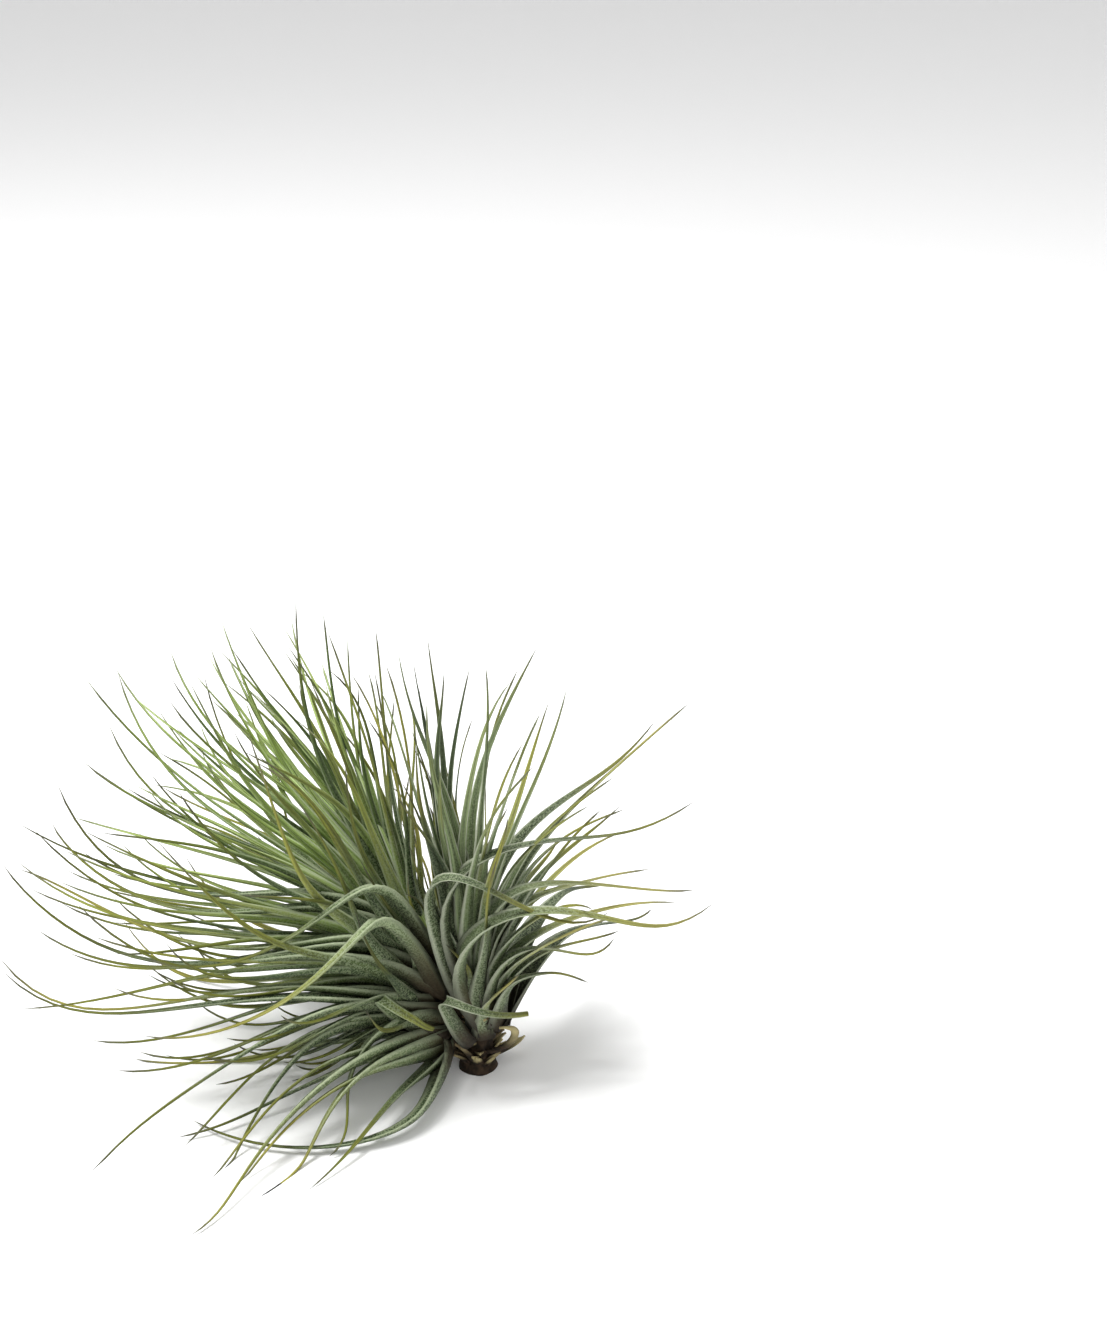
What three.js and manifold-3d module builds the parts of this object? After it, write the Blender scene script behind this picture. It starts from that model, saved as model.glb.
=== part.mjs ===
// A clump-forming air plant, lifted off its perch and set down on its old stem.
// Two leafy heads grow from one short woody stock: a large green one that leans to -X,
// and a smaller silvery one beside it that arches over to +X.
// Millimetres, +Z up, origin at the middle of the stock's flat foot, seen from -Y.
import * as THREE from 'three';
import { mergeVertices } from 'three/addons/utils/BufferGeometryUtils.js';
import Module from 'manifold-3d';

const wasm = await Module();
wasm.setup();

// Leaf: narrow, channelled above and keeled below, tapering from a clasping sheath to a thread.
// A stub is a slim leaf that broke off this far along its taper.
const BLADE_WIDTH = 1.8;
const SHEATH_EXTRA_WIDTH = 3.2;
const YOUNG_SHEATH_REACH = 0.36;
const OLD_SHEATH_REACH = 0.30;
const ROOT_THICKNESS = 1.0;
const TIP_THICKNESS = 0.6;
const THINNEST_WIDTH = 0.6;
const BLADE_TAPER = 0.7;
const STUB_GIRTH = 0.65;
const STUB_REACH = 0.55;
const SINGLE_LEAF_AGE = 0.85;
const KEEL_DEPTH = 2 / 3;
const LEAF_SIDES = 3;
const LEAF_STEPS = 6;
const DRY_LEAF_STEPS = 5;

// Leaves spiral up each head by the golden angle, and every second one is modelled
const GOLDEN_ANGLE = THREE.MathUtils.degToRad(137.50776);
const LEAF_STRIDE = 2;
const SPIRAL_WOBBLE = 0.25;
const FIRST_LEAF_HEIGHT = 1.6;
const FULL_LENGTH_AGE = 0.77;
const LENGTH_SPREAD = 0.15;
const OLD_LEAF_LOSS = 0.55;
const FAR_SIDE_LENGTH = 0.92;
const LIFT_SPREAD = 1.3;

// How late in its life each quarter of a leaf bends outwards, and how far it may stray, in degrees
const STAGES = {
  start: { pace: 1.5, stray: 4 },
  shoulder: { pace: 1.2, stray: 10 },
  reach: { pace: 0.95, stray: 17 },
  tip: { pace: 0.5, stray: 34 },
};

// What each draw of a leaf's wobble is for
const DRAW = { turn: 0, length: 3, angle: 4, sway: 9, lift: 15 };

// A leaf that would sink below the ground eases to lie on it, its keel pressed a little flat
const GROUND_EASE = 0.5;
const GROUND_PRESS = 0.2;
const DRY_GROUND_EASE = 0.3;
const DRY_WIDTH = 2.6;
const DRY_TAPER = 0.6;
const DRY_THICKNESS = 0.8;
const EASED_OUT = 8;

// Leaves of one head ease away from a slanting plane between the two heads
const SPLIT_POINT = new THREE.Vector3(-0.9, 0, 6);
const SPLIT_NORMAL = new THREE.Vector3(0.92, -0.33, 0.15).normalize();
const SPLIT_EASE = 0.8;
const SPLIT_GAP = 0.2;

// A head sits face to face on its branch of the stock
const SEAT_GAP = 0.3;
const CORE_SIDES = 10;

// Edges shorter than this are closed up where pieces are fused
const SHORTEST_EDGE = 0.002;

// Stock: the short dead stem that both heads grew from
const FOOT_RADIUS = 3.4;
const STOCK_HEIGHT = 3.0;
const STOCK_TOP_RADIUS = 2.2;
const BRANCH_START_HEIGHT = 0.8;
const BRANCH_ROOT_RADIUS = 2.3;
const STOCK_SIDES = 12;

// A head's leaf angles are in degrees from its lean: youngest leaf, oldest leaf on the side
// away from `open`, oldest leaf on the side that it opens to. `single` leaves are shaped one
// by one, by the control points of their curves from root to tip.
const HEADS = {
  main_rosette: {
    splitSide: -1,
    colour: '#6f8a5c',
    foot: [-5.4, 1.2, 4.0],
    stem: [-0.8, 1.2, 15.0],
    girth: 1.0,
    lean: [-0.56, 0.24, 0.80],
    open: [-1.0, -0.25, -0.25],
    leaves: 168,
    seed: 1,
    length: [60, 73],
    ring: [0.6, 2.6],
    crowding: 0.45,
    pace: 1.0,
    sway: 0.8,
    lift: 0.12,
    sweep: 0.9,
    start: [2, 12, 26],
    shoulder: [5, 42, 98],
    reach: [12, 58, 122],
    tip: [-5, 15, 22],
    core: [[2.6, 0], [3.8, 2.2], [3.5, 6], [2.8, 11], [1.8, 15.5], [0, 19]],
    single: [
      // long leaves sweeping left, one above the other
      [[-6, -1, 12], [-23, -11, 19], [-38, -13, 32], [-60, -15, 8], [-77, -8, 24]],
      [[-6, 0, 13], [-23, -10, 20], [-38, -8, 33], [-62, -12, 3], [-78, -5, 25]],
      [[-6, -1, 14], [-22, -11, 40], [-41, -10, 21], [-58, -11, 24], [-70, -8, 32]],
      [[-6, 0, 15], [-25, -8, 46], [-42, -9, 8], [-67, -9, 30], [-75, -6, 43]],
      [[-6, 1, 17], [-25, -6, 45], [-36, -10, 9], [-60, -5, 38], [-73, -4, 41]],
      [[-6, 2, 18], [-29, -3, 50], [-37, -7, 18], [-65, -2, 38], [-69, 2, 46]],
      [[-6, 2, 18], [-25, -2, 51], [-40, -2, 25], [-61, 0, 31], [-68, 5, 52]],
      // arcs that rise to the front and fall to the left
      [[-5, 1, 15], [-18, -17, 66], [-14, -21, 38], [-38, -17, 27], [-52, -12, 29]],
      [[-6, 0, 12], [-16, -23, 65], [-13, -25, 30], [-37, -27, 22], [-52, -20, 20]],
      // old leaves that come down to the ground in front
      [[-6, 0, 6], [-22, -10, 30], [-35, -16, 12], [-48, -23, 13], [-60, -29, 0]],
      [[-5, -1, 6], [-19, -14, 18], [-34, -24, 4], [-35, -34, 3], [-42, -43, -2]],
      [[-5, 0, 7], [-14, -9, 23], [-27, -14, 5], [-17, -20, 5], [-23, -25, 0]],
      [[-6, 0, 6], [-28, -9, 23], [-34, -15, 4], [-34, -21, 8], [-39, -28, -2]],
      [[-5, -1, 6], [-2, -21, 2], [-17, -28, 2], [-32, -26, 1], [-46, -16, 0]],
      [[-5, 0, 6], [-14, -7, 9], [-31, -12, 4], [-36, -16, 1], [-48, -20, 0]],
      [[-6, 1, 6], [-16, -3, 9], [-29, 2, 4], [-46, -3, -1], [-59, 2, -2]],
      [[-5, -1, 6], [-12, -12, 11], [-29, -19, 14], [-25, -27, -7], [-32, -35, -2]],
      // and behind
      [[-6, 2, 7], [-16, 18, 26], [-34, 30, 14], [-44, 42, 2], [-50, 54, -4]],
      [[-5, 3, 7], [-8, 20, 22], [-14, 36, 12], [-14, 48, 0], [-22, 60, -4]],
      [[-6, 2, 6], [-20, 10, 20], [-36, 20, 10], [-52, 24, 0], [-62, 32, -4]],
      [[-5, 3, 6], [-10, 14, 18], [-26, 30, 8], [-30, 40, -4], [-38, 46, -4]],
    ],
    stub: [
      // a broken leaf that folds back over the others in front
      [[-5, -3, 8], [-14, -8, 14], [-23, -12, 28], [-11, -14, 20], [-1, -12, 15]],
    ],
  },
  side_rosette: {
    splitSide: 1,
    colour: '#96a28f',
    foot: [1.4, -2.0, 7.0],
    stem: [-0.9, -0.4, 9.5],
    girth: 1.15,
    lean: [-0.19, 0.04, 0.98],
    open: [1.0, 0.35, 0.0],
    leaves: 50,
    seed: 2,
    length: [68, 50],
    ring: [0.5, 2.0],
    crowding: 0.45,
    pace: 0.9,
    sway: 0.5,
    lift: 0.05,
    sweep: 0.4,
    start: [1, 2, 14],
    shoulder: [3, 6, 54],
    reach: [5, 9, 90],
    tip: [6, 12, 84],
    core: [[2.0, 0], [3.0, 1.8], [2.8, 5], [1.9, 9], [0, 12.5]],
    single: [
      // stiff silvery leaves that rise, fold over and reach right
      [[2, -2, 12], [-11, -7, 28], [-14, -9, 54], [0, -11, 48], [12, -13, 31], [22, -9, 36]],
      [[2, -2, 11], [-15, -12, 34], [19, -18, 56], [24, -9, 24], [40, 0, 32]],
      [[2, -2, 13], [-21, -8, 48], [16, -11, 54], [18, -2, 41], [36, 8, 47]],
      [[3, -2, 12], [-4, -7, 43], [12, -13, 49], [23, 0, 32], [37, 6, 31]],
      [[3, -2, 11], [0, -7, 27], [11, -10, 36], [17, -1, 17], [23, 0, 26]],
      [[4, -2, 10], [4, -7, 21], [7, -8, 25], [11, -7, 24], [19, -3, 18]],
      [[3, -2, 12], [-2, -5, 36], [14, 1, 36], [17, 9, 31], [30, 14, 30]],
      // long ones to the upper right
      [[2, -1, 13], [-1, 4, 32], [14, 10, 40], [22, 19, 49], [36, 25, 57]],
      [[2, -1, 13], [-3, 3, 35], [10, 12, 47], [20, 16, 44], [31, 24, 54]],
      // low ones behind
      [[4, -1, 9], [8, 10, 26], [14, 22, 24], [19, 30, 16], [23, 37, 14]],
      [[4, -1, 9], [12, 6, 25], [20, 14, 21], [25, 20, 15], [31, 26, 15]],
    ],
    stub: [
      // a broken leaf that folds over in front of the stem
      [[-1, -4, 8], [-8, -8, 13], [-9, -12, 29], [0, -13, 18], [9, -10, 16.5]],
    ],
  },
};

// Withered leaf remains that still clasp the stock
const DRY_LEAVES = [
  [[1, -1, 3], [4, -4, 5], [8, -7, 9], [8, -8, 14], [4, -8, 13]],
  [[-1, -2, 2], [-1, -4, 4], [-2, -5, 6.5], [-3.5, -5.5, 8]],
  [[1, 0, 1.2], [5, 2.5, 1], [7, 4, 1.5], [8, 4, 3]],
  [[0, 1, 1.2], [1, 5, 1], [2, 7, 1], [1.5, 8, 2]],
  [[0, 1, 1.2], [-2, 5, 1], [-4, 7, 1], [-5, 8, 2]],
];
const DRY_LEAF_COLOUR = '#5d4a33';

const vector = (xyz) => new THREE.Vector3(...xyz);
const mix = THREE.MathUtils.lerp;

// The same "random" number from -1 to 1 for the same leaf and draw, every time
function wobble(leaf, draw, seed) {
  const hash = Math.sin(leaf * 12.9898 + draw * 78.233 + seed * 37.719) * 43758.5453;
  return (hash - Math.floor(hash)) * 2 - 1;
}

// Leaves a value well above `low` alone, and eases a smaller one so that it stays above it
function keepAbove(value, low, ease) {
  const over = (value - low) / ease;
  return over > EASED_OUT ? value : low + ease * Math.log1p(Math.exp(over));
}

// Point of a Bezier curve with any number of control points
function pointOn(points, t) {
  let row = points;
  while (row.length > 1) row = row.slice(1).map((point, i) => row[i].clone().lerp(point, t));
  return row[0];
}

// The younger a leaf is, the further up its sheath reaches
function bladeWidth(t, age, girth) {
  const reach = mix(YOUNG_SHEATH_REACH, OLD_SHEATH_REACH, age);
  const sheath = SHEATH_EXTRA_WIDTH * Math.exp(-((t / reach) ** 2));
  return Math.max(girth * (BLADE_WIDTH * (1 - t) ** BLADE_TAPER + sheath), THINNEST_WIDTH);
}

function bladeThickness(t) {
  return mix(ROOT_THICKNESS, TIP_THICKNESS, t);
}

const dryWidth = (t) => DRY_WIDTH * (1 - DRY_TAPER * t);
const dryThickness = () => DRY_THICKNESS;

// Control points of the leaf that the head's spiral gives at one place, youngest first
function spiralLeaf(head, i, age) {
  const lean = vector(head.lean).normalize();
  const open = vector(head.open).projectOnPlane(lean).normalize();
  const beside = lean.clone().cross(open);
  const even = i * GOLDEN_ANGLE + SPIRAL_WOBBLE * wobble(i, DRAW.turn, head.seed);
  const turn = even - head.crowding * Math.sin(even);
  const out = open.clone().multiplyScalar(Math.cos(turn)).addScaledVector(beside, Math.sin(turn));
  const across = lean.clone().cross(out);
  const facing = 0.5 + 0.5 * Math.cos(turn);

  const growth = Math.sin(Math.PI / 2 * Math.min(1, age / FULL_LENGTH_AGE));
  const length = mix(head.length[0], head.length[1], growth) * mix(FAR_SIDE_LENGTH, 1, facing)
    * (1 - OLD_LEAF_LOSS * age ** 4 + LENGTH_SPREAD * wobble(i, DRAW.length, head.seed));

  const up = vector(head.stem).normalize();
  const ringOut = out.clone().projectOnPlane(up).normalize();
  const root = vector(head.foot).addScaledVector(up, FIRST_LEAF_HEIGHT)
    .addScaledVector(vector(head.stem), 1 - age)
    .addScaledVector(ringOut, mix(head.ring[0], head.ring[1], age));

  const points = [root];
  Object.entries(STAGES).forEach(([stage, { pace, stray }], j) => {
    const [young, far, near] = head[stage];
    const angle = mix(young, mix(far, near, facing), age ** (pace * head.pace))
      + stray * wobble(i, DRAW.angle + j, head.seed);
    const radians = THREE.MathUtils.degToRad(angle);
    const sway = head.sway * (0.5 + age) * j / 3 * wobble(i, DRAW.sway + j, head.seed);
    const step = lean.clone().multiplyScalar(Math.cos(radians))
      .addScaledVector(out, Math.sin(radians))
      .addScaledVector(across, sway)
      .addScaledVector(open, head.sweep * facing * age * j / 3)
      .normalize();
    points.push(points[j].clone().addScaledVector(step, length / 4));
  });
  const lift = head.lift * (1 + LIFT_SPREAD * wobble(i, DRAW.lift, head.seed)) * Math.sqrt(age);
  points[4].z += lift * length;
  return points;
}

// Lifts a point of a leaf's midline so that the leaf lies on the ground instead of in it
function aboveGround(point, depth, ease) {
  return point.setZ(keepAbove(point.z, depth, ease));
}

// Moves a point that comes near the plane between the heads to its own head's side of it
function keepToSide(point, side, clear, ease) {
  const reach = point.clone().sub(SPLIT_POINT).dot(SPLIT_NORMAL) * side;
  return point.addScaledVector(SPLIT_NORMAL, (keepAbove(reach, clear, ease) - reach) * side);
}

function keepAllToSide(geometry, side) {
  const position = geometry.attributes.position;
  for (let i = 0; i < position.count; i++) {
    const point = new THREE.Vector3().fromBufferAttribute(position, i);
    keepToSide(point, side, SPLIT_GAP, SPLIT_EASE);
    position.setXYZ(i, point.x, point.y, point.z);
  }
}

// One leaf: a three-sided needle bent along its midline, flat face towards the head's lean
function leafGeometry(points, lean, steps, place, width, thickness) {
  const run = points.at(-1).clone().sub(points[0]);
  const out = run.projectOnPlane(lean).normalize();
  const plane = lean.clone().cross(out);
  const midline = [];
  for (let j = 0; j <= steps; j++) midline.push(place(pointOn(points, j / steps), j / steps));
  const frames = midline.map((centre, j) => {
    const before = midline[Math.max(0, j - 1)];
    const after = midline[Math.min(steps, j + 1)];
    const along = after.clone().sub(before).normalize();
    const across = plane.clone().projectOnPlane(along).normalize();
    return { centre, across, keel: across.clone().cross(along) };
  });
  const needle = new THREE.ConeGeometry(1, 1, LEAF_SIDES, steps);
  const position = needle.attributes.position;
  for (let i = 0; i < position.count; i++) {
    const t = position.getY(i) + 0.5;
    const { centre, across, keel } = frames[Math.round(t * steps)];
    const point = centre.clone();
    if (t < 0.999) {
      const sideways = position.getX(i) / (1 - t) * width(t) / Math.sqrt(3);
      const below = position.getZ(i) / (1 - t) * thickness(t) * KEEL_DEPTH;
      point.addScaledVector(across, sideways).addScaledVector(keel, below);
    }
    position.setXYZ(i, point.x, point.y, Math.max(point.z, 0));
  }
  return needle;
}

// A lathed solid whose profile rises from `foot` towards `up`
function turnedGeometry(profile, foot, up, sides) {
  const outline = [[0, 0], ...profile].map(([r, h]) => new THREE.Vector2(r, h));
  const turn = new THREE.Quaternion().setFromUnitVectors(new THREE.Vector3(0, 1, 0), up);
  return new THREE.LatheGeometry(outline, sides).applyQuaternion(turn).translate(foot.x, foot.y, foot.z);
}

// A branch of the stock: round, from a disc inside the stock to a flat seat under a head
function branchGeometry(seat, up, radius) {
  const branch = new THREE.CylinderGeometry(1, 1, 1, STOCK_SIDES, 1);
  const turn = new THREE.Quaternion().setFromUnitVectors(new THREE.Vector3(0, 1, 0), up);
  const position = branch.attributes.position;
  const start = new THREE.Vector3(0, 0, BRANCH_START_HEIGHT);
  for (let i = 0; i < position.count; i++) {
    const atSeat = position.getY(i) > 0;
    const rim = new THREE.Vector3(position.getX(i), 0, position.getZ(i)).applyQuaternion(turn);
    rim.multiplyScalar(atSeat ? radius : BRANCH_ROOT_RADIUS).add(atSeat ? seat : start);
    position.setXYZ(i, rim.x, rim.y, rim.z);
  }
  return branch;
}

function toSolid(geometry) {
  geometry.deleteAttribute('normal');
  geometry.deleteAttribute('uv');
  const merged = mergeVertices(geometry, 1e-5);
  return new wasm.Manifold(new wasm.Mesh({
    numProp: 3,
    tolerance: SHORTEST_EDGE,
    vertProperties: new Float32Array(merged.attributes.position.array),
    triVerts: new Uint32Array(merged.index.array),
  }));
}

// Fuses the pieces of one node, and keeps the body without loose scraps or sealed bubbles
function fuse(geometries) {
  const joined = geometries.map(toSolid).reduce((all, solid) => all.add(solid));
  const [body] = joined.decompose().sort((a, b) => b.volume() - a.volume());
  const mesh = body.getMesh();
  const geometry = new THREE.BufferGeometry();
  geometry.setAttribute('position', new THREE.BufferAttribute(mesh.vertProperties, 3));
  geometry.setIndex(new THREE.BufferAttribute(mesh.triVerts, 1));
  return geometry;
}

function namedMesh(name, geometry, colour, roughness, origin) {
  geometry.translate(-origin.x, -origin.y, -origin.z);
  const material = new THREE.MeshStandardMaterial({ color: colour, roughness, metalness: 0 });
  const mesh = new THREE.Mesh(geometry, material);
  mesh.name = name;
  mesh.position.copy(origin);
  return mesh;
}

function rosette(name, head) {
  const foot = vector(head.foot);
  const lean = vector(head.lean).normalize();
  const place = (point, t) => {
    const thickness = bladeThickness(t);
    keepToSide(point, head.splitSide, SPLIT_GAP + thickness, SPLIT_EASE);
    return aboveGround(point, thickness * KEEL_DEPTH - GROUND_PRESS, GROUND_EASE);
  };
  const grow = (route, age, girth, reach) => {
    const width = (t) => bladeWidth(t * reach, age, girth * head.girth);
    return leafGeometry(route, lean, LEAF_STEPS, place, width, bladeThickness);
  };
  const pieces = [turnedGeometry(head.core, foot, vector(head.stem).normalize(), CORE_SIDES)];
  for (const route of head.single) pieces.push(grow(route.map(vector), SINGLE_LEAF_AGE, 1, 1));
  for (const route of head.stub) {
    pieces.push(grow(route.map(vector), SINGLE_LEAF_AGE, STUB_GIRTH, STUB_REACH));
  }
  for (let i = 0; i < head.leaves; i += LEAF_STRIDE) {
    const age = (i + 0.5) / head.leaves;
    pieces.push(grow(spiralLeaf(head, i, age), age, 1, 1));
  }
  pieces.forEach((piece) => keepAllToSide(piece, head.splitSide));
  return namedMesh(name, fuse(pieces), head.colour, 0.85, foot);
}

function oldStem() {
  const ground = new THREE.Vector3();
  const upright = new THREE.Vector3(0, 0, 1);
  const profile = [
    [FOOT_RADIUS, 0],
    [FOOT_RADIUS, STOCK_HEIGHT / 2],
    [STOCK_TOP_RADIUS, STOCK_HEIGHT],
    [0, STOCK_HEIGHT],
  ];
  const pieces = [turnedGeometry(profile, ground, upright, STOCK_SIDES)];
  for (const head of Object.values(HEADS)) {
    const up = vector(head.stem).normalize();
    pieces.push(branchGeometry(vector(head.foot).addScaledVector(up, -SEAT_GAP), up, head.core[0][0]));
  }
  const place = (point) => aboveGround(point, DRY_THICKNESS * KEEL_DEPTH, DRY_GROUND_EASE);
  for (const route of DRY_LEAVES) {
    pieces.push(leafGeometry(route.map(vector), upright, DRY_LEAF_STEPS, place, dryWidth, dryThickness));
  }
  return namedMesh('old_stem', fuse(pieces), DRY_LEAF_COLOUR, 0.95, ground);
}

const plant = new THREE.Group();
plant.add(oldStem());
for (const [name, head] of Object.entries(HEADS)) plant.add(rosette(name, head));

export default plant;
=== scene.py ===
"""An air plant lifted off its perch: two leafy heads on one old stem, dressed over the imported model."""
import math
import random

import bmesh
import bpy
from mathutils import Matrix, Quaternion, Vector


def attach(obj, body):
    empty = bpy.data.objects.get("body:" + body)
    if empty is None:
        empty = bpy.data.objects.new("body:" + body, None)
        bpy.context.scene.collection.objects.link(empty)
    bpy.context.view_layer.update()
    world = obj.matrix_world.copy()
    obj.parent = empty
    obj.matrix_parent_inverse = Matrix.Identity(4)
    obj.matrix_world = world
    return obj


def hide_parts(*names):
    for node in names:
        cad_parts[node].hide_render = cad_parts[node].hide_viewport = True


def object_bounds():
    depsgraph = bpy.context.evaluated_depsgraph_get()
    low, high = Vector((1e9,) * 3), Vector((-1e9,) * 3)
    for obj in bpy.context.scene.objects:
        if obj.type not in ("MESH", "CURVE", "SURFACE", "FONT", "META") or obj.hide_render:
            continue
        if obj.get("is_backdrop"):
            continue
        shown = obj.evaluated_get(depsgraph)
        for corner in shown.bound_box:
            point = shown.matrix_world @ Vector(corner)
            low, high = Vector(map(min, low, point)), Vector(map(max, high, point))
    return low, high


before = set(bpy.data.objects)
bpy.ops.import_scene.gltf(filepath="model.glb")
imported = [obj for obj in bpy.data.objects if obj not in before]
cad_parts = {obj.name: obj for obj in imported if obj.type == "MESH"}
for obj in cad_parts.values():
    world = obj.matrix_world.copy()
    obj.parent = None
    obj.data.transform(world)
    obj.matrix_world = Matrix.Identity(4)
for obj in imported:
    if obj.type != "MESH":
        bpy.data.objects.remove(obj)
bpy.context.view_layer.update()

# Camera
# A 50 mm lens a forearm's length away, looking down at the green head's open side.
# It stands so that the foot of the stem lies low and a little left of the middle of the frame.
MM = 0.001
CAMERA_PLACE = Vector((13.0, -263.5, 192.4)) * MM
CAMERA_PITCH = math.radians(24)
LENS = 50
NEAREST_SEEN = 10 * MM

camera = bpy.data.objects.new("camera", bpy.data.cameras.new("camera"))
camera.data.lens = LENS
camera.data.clip_start = NEAREST_SEEN
camera.location = CAMERA_PLACE
camera.rotation_euler = (math.radians(90) - CAMERA_PITCH, 0, 0)
bpy.context.scene.collection.objects.link(camera)
bpy.context.scene.camera = camera
bpy.context.scene.view_settings.view_transform = "Standard"

# Studio
# A plain pale floor that curves up into a round wall, under the even light of a white room whose
# ceiling is brighter than its walls, with a soft key light behind on the left and a weak front one.
COVE_RADIUS = 3.0
COVE_BEND = 0.8
COVE_BEND_STEPS = 8
COVE_HEIGHT = 1.8
COVE_SIDES = 64
COVE_COLOUR = (0.88, 0.88, 0.88, 1)
COVE_ROUGHNESS = 0.9
COVE_SPECULAR = 0.1
LEVEL = 0.001
WALL_LIGHT = 0.36
CEILING_LIGHT = 1.00
KEY_LIGHT = {"place": (-0.30, -0.05, 0.85), "size": 0.30, "power": 9.0}
FRONT_LIGHT = {"place": (0.35, -0.80, 0.60), "size": 0.60, "power": 1.2}


def soft_light(name, place, size, power, aim=(0, 0, 0.03)):
    """An area light at `place` that points at `aim`."""
    light = bpy.data.objects.new(name, bpy.data.lights.new(name, "AREA"))
    light.data.size = size
    light.data.energy = power
    light.location = place
    light.rotation_mode = "QUATERNION"
    light.rotation_quaternion = (Vector(aim) - Vector(place)).to_track_quat("-Z", "Y")
    bpy.context.scene.collection.objects.link(light)


def new_object(name, shape, material):
    """Turns a finished bmesh into an object of one material."""
    made = bpy.data.objects.new(name, bpy.data.meshes.new(name))
    shape.to_mesh(made.data)
    shape.free()
    made.data.materials.append(material)
    bpy.context.scene.collection.objects.link(made)
    return made


def new_material(name, roughness, specular):
    """A material and its shader, which has this roughness and specular level all over."""
    material = bpy.data.materials.new(name)
    material.use_nodes = True
    shader = material.node_tree.nodes["Principled BSDF"]
    shader.inputs["Roughness"].default_value = roughness
    shader.inputs["Specular IOR Level"].default_value = specular
    return material, shader


cove_mesh = bmesh.new()
profile = [(0, 0)]
for k in range(COVE_BEND_STEPS + 1):
    angle = math.radians(90) * k / COVE_BEND_STEPS
    profile.append((COVE_RADIUS + COVE_BEND * math.sin(angle), COVE_BEND * (1 - math.cos(angle))))
profile.append((COVE_RADIUS + COVE_BEND, COVE_HEIGHT))
rail = [cove_mesh.verts.new((radius, 0, height)) for radius, height in profile]
slope = [cove_mesh.edges.new(pair) for pair in zip(rail, rail[1:])]
bmesh.ops.spin(cove_mesh, geom=rail + slope, axis=(0, 0, 1), cent=(0, 0, 0), angle=2 * math.pi,
               steps=COVE_SIDES, use_merge=True)
bmesh.ops.remove_doubles(cove_mesh, verts=cove_mesh.verts, dist=MM)
for face in cove_mesh.faces:
    face.normal_update()
    face.smooth = True
    if face.normal.z < -LEVEL or face.normal.dot(face.calc_center_median()) > LEVEL:
        face.normal_flip()
cove_material, cove_shader = new_material("pale_cove", COVE_ROUGHNESS, COVE_SPECULAR)
cove_shader.inputs["Base Color"].default_value = COVE_COLOUR
cove = new_object("cove", cove_mesh, cove_material)
cove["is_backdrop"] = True

world = bpy.data.worlds.new("white_room")
world.use_nodes = True
room = world.node_tree.nodes
up_down = room.new("ShaderNodeSeparateXYZ")
brightness = room.new("ShaderNodeMapRange")
brightness.inputs["To Min"].default_value = WALL_LIGHT
brightness.inputs["To Max"].default_value = CEILING_LIGHT
world.node_tree.links.new(room.new("ShaderNodeTexCoord").outputs["Generated"], up_down.inputs[0])
world.node_tree.links.new(up_down.outputs["Z"], brightness.inputs["Value"])
world.node_tree.links.new(brightness.outputs["Result"], room["Background"].inputs["Strength"])
room["Background"].inputs["Color"].default_value = (1, 1, 1, 1)
bpy.context.scene.world = world
soft_light("key", **KEY_LIGHT)
soft_light("front", **FRONT_LIGHT)

# Green head
# The larger shoot: nearly 200 needle leaves in a spiral round a leafy stem that leans left.
# Each leaf clasps the stem with a wide pale sheath, then narrows, channelled above and keeled
# below, to a thread. The young ones stand in a bright sheaf and the old ones arch to the table.
BLADE_WIDTH = 1.8
SHEATH_EXTRA_WIDTH = 3.2
YOUNG_SHEATH_REACH = 0.36
OLD_SHEATH_REACH = 0.38
ROOT_THICKNESS = 1.0
TIP_THICKNESS = 0.32
THINNEST_WIDTH = 0.26
TIP_CLOSING = 0.15
BLADE_TAPER = 0.7
STUB_GIRTH = 0.65
STUB_REACH = 0.55
KEEL_DEPTH = 2 / 3
CUP_DEPTH = 0.45
CHANNEL_END = 0.35
CHANNEL_FADE = 0.5
BLADE_SIDES = 8
BLADE_STEPS = 26
# Corners of a leaf's section from its top to its keel: how high the corner lies on a round bar,
# its distance out in widths, its height in thicknesses where the leaf is channelled and where it
# is a thread, and how far the cup of the sheath lifts it
SECTION = [
    (0.9, 0.0, -0.12, 0.33, -0.3),
    (0.3, 0.28, -0.02, 0.26, 0.0),
    (-0.3, 0.5, 0.33, 0.0, 0.7),
    (-0.9, 0.34, -0.22, -0.4, 0.1),
    (-1.1, 0.0, -KEEL_DEPTH, -KEEL_DEPTH, -0.3),
]
GOLDEN_ANGLE = math.radians(137.50776)
SPIRAL_WOBBLE = 0.25
FIRST_LEAF_HEIGHT = 1.6
FULL_LENGTH_AGE = 0.77
LENGTH_SPREAD = 0.15
OLD_LEAF_LOSS = 0.55
FAR_SIDE_LENGTH = 0.92
LIFT_SPREAD = 1.3
# How late in its life each quarter of a leaf bends outwards, and how far it may stray, in degrees
STAGES = {"start": (1.5, 4), "shoulder": (1.2, 10), "reach": (0.95, 17), "tip": (0.5, 34)}
# What each draw of a leaf's wobble is for
DRAW = {"turn": 0, "length": 3, "angle": 4, "sway": 9, "lift": 15, "tone": 21, "twist": 22, "phase": 23}
EASED_OUT = 8
GROUND_EASE = 0.5
GROUND_PRESS = 0.2
# Leaves of one head ease away from a slanting plane between the two heads
SPLIT_POINT = Vector((-0.9, 0, 6))
SPLIT_NORMAL = Vector((0.92, -0.33, 0.15)).normalized()
SPLIT_EASE = 0.8
SPLIT_GAP = 0.2
SINGLE_LEAF_AGE = 0.85
LEAF_TWIST = math.radians(70)
WAVE_HEIGHT = 1.2
WAVE_COUNT = 1.2

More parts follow.
